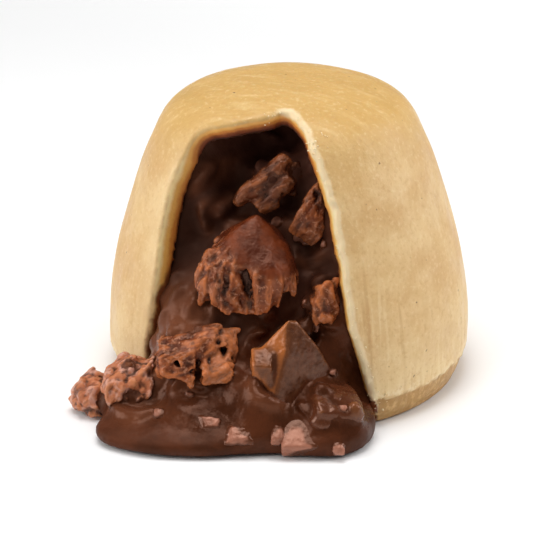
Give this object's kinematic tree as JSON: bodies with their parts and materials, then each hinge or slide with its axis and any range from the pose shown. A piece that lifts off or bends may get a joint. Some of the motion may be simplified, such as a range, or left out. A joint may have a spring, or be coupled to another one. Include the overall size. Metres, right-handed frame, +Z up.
{
  "type": "steak and kidney pudding",
  "caption": "Individual suet pastry pudding turned out of its basin and cut open at the front, with gravy and chunks of steak and kidney slumping out of the cut.",
  "frame": {"origin": "centre of the flat foot that the pudding stands on", "axes": "+Z up, the cut and the spilled gravy face -Y"},
  "size_m": [0.076, 0.0893, 0.0623],
  "materials": {
    "pastry": "steamed suet pastry, satin",
    "gravy": "thick brown gravy, glossy",
    "steak": "stewed steak wet with gravy",
    "kidney": "stewed kidney coated with gravy"
  },
  "bodies": {
    "root": {"pastry_case": "pastry", "gravy": "gravy", "steak_centre": "steak", "steak_upper": "steak", "steak_right_upper": "steak", "steak_right_lower": "steak", "steak_left_upper": "steak", "steak_left": "steak", "steak_foot_left": "steak", "steak_foot_outer": "steak", "steak_front_left": "steak", "kidney_centre": "kidney", "kidney_foot_right": "kidney", "kidney_front_right": "kidney"}
  },
  "joints": []
}
